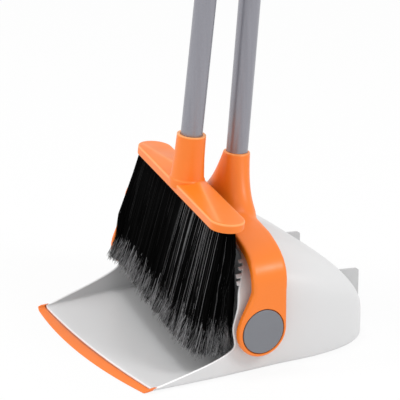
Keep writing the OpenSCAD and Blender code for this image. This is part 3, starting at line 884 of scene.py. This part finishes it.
def filament_plastic(name):
    """Black filament with no specular gloss; single filaments are lighter, a few at random and the
    light strands as a painted highlight, and the split ends scatter grey."""
    material, tree = new_material(name)
    tone = add(tree, "Attribute", attribute_name="tone").outputs["Fac"]
    tip = add(tree, "Attribute", attribute_name="tip").outputs["Fac"]
    shaft = between(tree, tone, srgb("#0A0A0A"), srgb("#C4C4C6"))
    split_end = between(tree, tone, srgb("#2A2A2B"), srgb("#D6D6D8"))
    surface = add(tree, "BsdfPrincipled", {
        "Base Color": between(tree, tip, shaft, split_end), "Roughness": 0.5, "IOR": 1.49,
        "Specular IOR Level": 0.0})
    add(tree, "OutputMaterial", {"Surface": surface.outputs["BSDF"]})
    return material


filament = filament_plastic("black_polypropylene_filament")


def set_in_head(piece):
    """Puts a piece of the fill on the broom."""
    piece.data.materials.append(filament)
    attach(piece, "broom")
    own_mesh(piece)


# Inside the hairs a closed dark core fills the gaps between them.
a = once_round(96)
s_ring = np.sign(np.cos(a))*np.abs(np.cos(a))**0.5*0.95
c_ring = np.sign(np.sin(a))*np.abs(np.sin(a))**0.5*0.82
core = skin("fill_core", np.array([fill_point(s_ring, c_ring, np.full(len(a), f))
                                   for f in np.linspace(0, 0.84, 14)]))
for key in ("tip", "tone"):
    core.data.attributes.new(key, "FLOAT", "POINT")
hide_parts("bristles")
set_in_head(core)


def near_faces(n, front_share, end_share):
    """Places (s, c) of n hairs: most near the front and back face of the fill, some near its two
    ends, the rest anywhere."""
    s, c = 2*rng.random(n) - 1, 2*rng.random(n) - 1
    kind = rng.random(n)
    c = np.where(kind < front_share, np.sign(c)*(1 - 0.14*np.abs(c)), c)
    at_end = (kind >= front_share) & (kind < front_share + end_share)
    return np.where(at_end, np.sign(s)*(1 - 0.035*np.abs(s)), s), c


def wavered(s, c, f, amount, way):
    """Path of each hair: its place in the fill at every f, and a bend that grows downwards."""
    return fill_point(s[:, None] + 0*f, c[:, None] + 0*f, f) + way*amount*(f**1.6)[..., None]


# Dark filaments, in tufts: the hairs of a tuft bend the same way and share a shade.
tufts, each = 1000, 12
s, c = near_faces(tufts, 0.68, 0.14)
bend = rng.normal(0, 1, (tufts, 1, 3))*[1.0, 0.6, 0]
shade = rng.random(tufts)**4*0.012
count = tufts*each
s = s.repeat(each) + rng.normal(0, 0.012, count)
c = np.clip(c.repeat(each) + rng.normal(0, 0.06, count), -1, 1)
reach_to = (0.93 + 0.05*rng.random(tufts)).repeat(each) + 0.03*rng.random(count)
f = np.linspace(0, 1, 6)[None]*reach_to[:, None]
way = bend.repeat(each, 0) + rng.normal(0, 0.5, (count, 1, 3))*[1.0, 0.6, 0]
path = wavered(s, c, f, 1.3, way)
tone = shade.repeat(each)*rng.random(count) + 0.03*(rng.random(count) < 0.02)
thick = 0.30 - 0.10*f/f.max()
tip_mark = np.clip((f - 0.80)/0.2, 0, 1)*0.6
for k in range(2):
    part = slice(k*count//2, (k + 1)*count//2)
    set_in_head(hairs(f"filaments_{k}", path[part], thick[part], tip_mark[part], tone[part]))

# Loose light strands: single filaments that lie on the faces of the fill, most of them
# near its right end. Their light grey is a painted highlight in place of the filaments' gloss.
count = 90
s = np.where(rng.random(count) < 0.6, 0.1 + 0.9*rng.random(count), 2*rng.random(count) - 1)
c = np.where(rng.random(count) < 0.8, -1, 1)*(1.0 - 0.01*rng.random(count))
at_end = rng.random(count) < 0.2
s = np.where(at_end, np.sign(s)*1.0, s)
c = np.where(at_end, 2*rng.random(count) - 1, c)
f = np.linspace(0, 1, 9)[None]*(0.80 + 0.2*rng.random(count))[:, None]
way = rng.normal(0, 1, (count, 1, 3))*[1.6, 0.5, 0]
path = wavered(s, c, f, 1.6, way) - [0, 0.35, 0]
# Painted highlight: strands on the right part of the fill are much lighter than the rest.
tone = np.where(s > 0.1, 0.02 + 0.5*rng.random(count)**2.2, 0.05*rng.random(count))
thick = 0.22 - 0.05*f/f.max()
set_in_head(hairs("painted_highlight_strands", path, thick, 0*f, tone))

# Flagged ends: each tuft ends in a little brush of split hairs that lean the same way.
tufts, each = 1900, 8
s, c = near_faces(tufts, 0.60, 0.14)
lean = rng.normal(0, 1, (tufts, 1, 3))*[1.0, 0.8, 0.25]
bright = rng.random(tufts)**1.3
start = 0.74 + 0.16*rng.random(tufts)
stop = start + 0.08 + (0.92 - start)*rng.random(tufts)**0.6
count = tufts*each
s = s.repeat(each) + rng.normal(0, 0.010, count)
c = np.clip(c.repeat(each) + rng.normal(0, 0.05, count), -1, 1)
start_f = (start.repeat(each) + 0.03*rng.normal(0, 1, count))[:, None]
end_f = np.maximum((stop.repeat(each) + 0.02*rng.normal(0, 1, count))[:, None], start_f + 0.06)
f = start_f + (end_f - start_f)*np.array([[0, 0.5, 1.0]])
share = ((f - start_f)/(end_f - start_f))[..., None]
path = wavered(s, c, np.clip(f, 0, 1.03), 1.0, rng.normal(0, 1, (count, 1, 3))*[1.0, 0.6, 0])
own = rng.normal(0, 1, (count, 1, 3))*[1.0, 0.8, 0.4]
path = path + (lean.repeat(each, 0)*2.1 + own*2.9)*share**1.2
thick = 0.27 - 0.13*share[..., 0]
tip_mark = 0.15 + 0.85*share[..., 0]
tone = np.clip(bright.repeat(each)*0.4 + 0.6*rng.random(count)**2.6, 0, 1)*0.8
set_in_head(hairs("flagged_ends", path, thick, tip_mark, tone))

# ---- Floor and light ----
# A plain white studio: the floor shows white to the camera and keeps a soft shadow.

size = 6.0
floor_mesh = bpy.data.meshes.new("floor")
floor_mesh.from_pydata([(-size, -size, 0), (size, -size, 0), (size, size, 0), (-size, size, 0)], [],
                       [(0, 1, 2, 3)])
floor = bpy.data.objects.new("floor", floor_mesh)
bpy.context.collection.objects.link(floor)


def seen_directly(tree):
    """1 for what the camera sees, straight, in a mirror or through a clear piece, otherwise 0."""
    kind = add(tree, "LightPath").outputs
    seen = add(tree, "Math", {0: kind["Is Camera Ray"], 1: kind["Is Glossy Ray"]},
               operation="MAXIMUM")
    return add(tree, "Math", {0: seen.outputs[0], 1: kind["Is Transmission Ray"]},
               operation="MAXIMUM").outputs[0]


white = (1, 1, 1, 1)
material, tree = new_material("studio_white")
glow_share = add(tree, "Math", {0: seen_directly(tree), 1: 0.88}, operation="MULTIPLY")
matte = add(tree, "BsdfDiffuse", {"Color": (0.9, 0.9, 0.9, 1)})
plain = add(tree, "Emission", {"Color": white, "Strength": 1.0})
mixed = add(tree, "MixShader", {0: glow_share.outputs[0], 1: matte.outputs[0],
                                2: plain.outputs[0]})
add(tree, "OutputMaterial", {"Surface": mixed.outputs[0]})
floor_mesh.materials.append(material)

world = bpy.data.worlds.new("studio")
world.use_nodes = True
tree = world.node_tree
tree.nodes.clear()
soft = add(tree, "Background", {"Color": white, "Strength": 0.7})
plain = add(tree, "Background", {"Color": white, "Strength": 1.0})
mixed = add(tree, "MixShader", {0: seen_directly(tree), 1: soft.outputs[0], 2: plain.outputs[0]})
add(tree, "OutputWorld", {"Surface": mixed.outputs[0]})
bpy.context.scene.world = world


def softbox(name, place, aim, width, watts):
    """Square area light at place, turned to the point aim."""
    lamp = bpy.data.lights.new(name, "AREA")
    lamp.size = width
    lamp.energy = watts
    box = bpy.data.objects.new(name, lamp)
    bpy.context.collection.objects.link(box)
    box.location = place
    way = Vector(aim) - Vector(place)
    box.rotation_euler = way.to_track_quat("-Z", "Y").to_euler()


softbox("key", (-0.1, -0.3, 2.5), (0, -0.02, 0.1), 0.38, 10)
softbox("right", (1.5, 0.9, 1.5), (0, 0, 0.1), 0.6, 14)
softbox("front", (-0.6, -2.0, 1.5), (0, 0, 0.1), 0.7, 15)

bpy.context.scene.view_settings.view_transform = "Standard"
